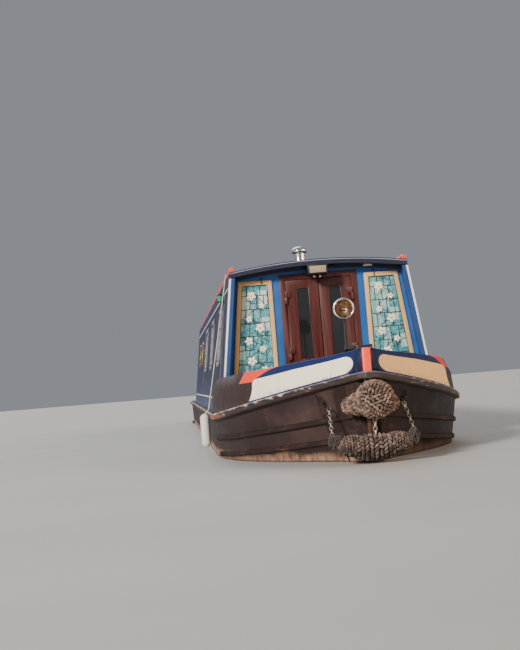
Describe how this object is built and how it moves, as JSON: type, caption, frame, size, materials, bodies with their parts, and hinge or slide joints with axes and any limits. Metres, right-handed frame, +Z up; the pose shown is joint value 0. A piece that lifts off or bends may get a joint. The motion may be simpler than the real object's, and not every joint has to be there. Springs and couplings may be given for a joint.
{
  "type": "narrowboat",
  "caption": "Sixty-foot traditional canal narrowboat: flat-bottomed steel hull, painted bow, long cabin, opening doors, hatch, locker lid, rudder with tiller, propeller.",
  "frame": {"origin": "centre of the underside, on the centre line, halfway between the ends of the bow and stern fenders", "axes": "+X to the bow, +Y to port, +Z up"},
  "size_m": [18.918, 2.2518, 2.6637],
  "materials": {
    "hull_steel": "worn matt bitumen black with rust on the rubbing irons",
    "bow_paint": "gloss coach paint in cream, blue, navy, red and brown panels",
    "deck_paint": "semi-gloss non-slip deck paint",
    "floor_boards": "boards over ballast",
    "cabin_paint": "gloss coach paint with lined panels",
    "roof_paint": "semi-gloss roof paint",
    "bulkhead_paint": "gloss mid-blue coach paint",
    "mahogany": "varnished red-brown hardwood",
    "cream_wood": "gloss cream paint on wood",
    "leaded_glass": "tinted leaded panels",
    "window_unit": "clear glass in a pale metal rim",
    "handrail_paint": "gloss coral-red paint",
    "vent_metal": "polished",
    "fittings_black": "satin black",
    "propeller_bronze": "dull cast bronze",
    "tiller_metal": "polished brass bar on a painted swan neck with a wooden grip",
    "engine_iron": "painted iron",
    "fender_rope": "weathered plaited rope",
    "side_fender_skin": "scuffed pale skin on a thin line"
  },
  "bodies": {
    "hull": {"base_plate": "hull_steel", "hull_bow_port": "hull_steel", "hull_bow_starboard": "hull_steel", "hull_side_port": "hull_steel", "hull_side_starboard": "hull_steel", "hull_swim_port": "hull_steel", "hull_swim_starboard": "hull_steel", "hull_counter_port": "hull_steel", "hull_counter_starboard": "hull_steel", "stem_post": "bow_paint", "cant_port": "bow_paint", "cant_starboard": "bow_paint", "fore_deck": "deck_paint", "well_deck_floor": "deck_paint", "cabin_floor": "floor_boards", "counter_deck": "deck_paint", "cabin_side_port": "cabin_paint", "cabin_side_starboard": "cabin_paint", "cabin_roof": "roof_paint", "front_bulkhead": "bulkhead_paint", "rear_bulkhead": "bulkhead_paint", "front_door_frame": "mahogany", "front_window_frame_port": "cream_wood", "front_window_frame_starboard": "cream_wood", "front_window_glass_port": "leaded_glass", "front_window_glass_starboard": "leaded_glass", "rear_door_frame": "mahogany", "side_window_1_port": "window_unit", "side_window_1_starboard": "window_unit", "side_window_2_port": "window_unit", "side_window_2_starboard": "window_unit", "side_window_3_port": "window_unit", "side_window_3_starboard": "window_unit", "handrail_port": "handrail_paint", "handrail_starboard": "handrail_paint", "mushroom_vent_front": "vent_metal", "mushroom_vent_middle": "vent_metal", "mushroom_vent_rear": "vent_metal", "chimney": "fittings_black", "headlamp": "fittings_black", "mooring_stud": "fittings_black", "skeg": "hull_steel", "engine": "engine_iron", "bow_button_fender": "fender_rope", "bow_sausage_fender": "fender_rope", "stern_fender": "fender_rope", "side_fender_port": "side_fender_skin", "side_fender_starboard": "side_fender_skin"},
    "front_door_port_leaf": {"front_door_port": "mahogany", "front_door_glass_port": "leaded_glass"},
    "front_door_starboard_leaf": {"front_door_starboard": "mahogany", "front_door_glass_starboard": "leaded_glass"},
    "rear_door_port_leaf": {"rear_door_port": "mahogany"},
    "rear_door_starboard_leaf": {"rear_door_starboard": "mahogany"},
    "locker_lid_body": {"locker_lid": "deck_paint"},
    "slide_hatch_body": {"slide_hatch": "roof_paint"},
    "steering": {"rudder": "hull_steel", "tiller": "tiller_metal"},
    "propeller_body": {"propeller": "propeller_bronze"}
  },
  "joints": [
    {"name": "front_door_port_hinge", "type": "hinge", "parent": "hull", "child": "front_door_port_leaf", "pos_m": [6.151, 0.2915, 1.5], "axis": [0, 0, 1], "range_deg": [0, 110]},
    {"name": "front_door_starboard_hinge", "type": "hinge", "parent": "hull", "child": "front_door_starboard_leaf", "pos_m": [6.151, -0.2915, 1.5], "axis": [0, 0, -1], "range_deg": [0, 110]},
    {"name": "rear_door_port_hinge", "type": "hinge", "parent": "hull", "child": "rear_door_port_leaf", "pos_m": [-7.924, 0.2915, 1.6], "axis": [0, 0, -1], "range_deg": [0, 110]},
    {"name": "rear_door_starboard_hinge", "type": "hinge", "parent": "hull", "child": "rear_door_starboard_leaf", "pos_m": [-7.924, -0.2915, 1.6], "axis": [0, 0, 1], "range_deg": [0, 110]},
    {"name": "locker_lid_hinge", "type": "hinge", "parent": "hull", "child": "locker_lid_body", "pos_m": [8.516, 0, 1.27], "axis": [0, 1, 0], "range_deg": [0, 95]},
    {"name": "slide_hatch_slide", "type": "slide", "parent": "hull", "child": "slide_hatch_body", "axis": [1, 0, 0], "range_m": [0, 0.75]},
    {"name": "rudder_stock", "type": "hinge", "parent": "hull", "child": "steering", "pos_m": [-8.816, 0, 0.8], "axis": [0, 0, 1], "range_deg": [-45, 45]},
    {"name": "propeller_shaft", "type": "hinge", "parent": "hull", "child": "propeller_body", "pos_m": [-8.571, 0, 0.29], "axis": [1, 0, 0], "continuous": true}
  ]
}
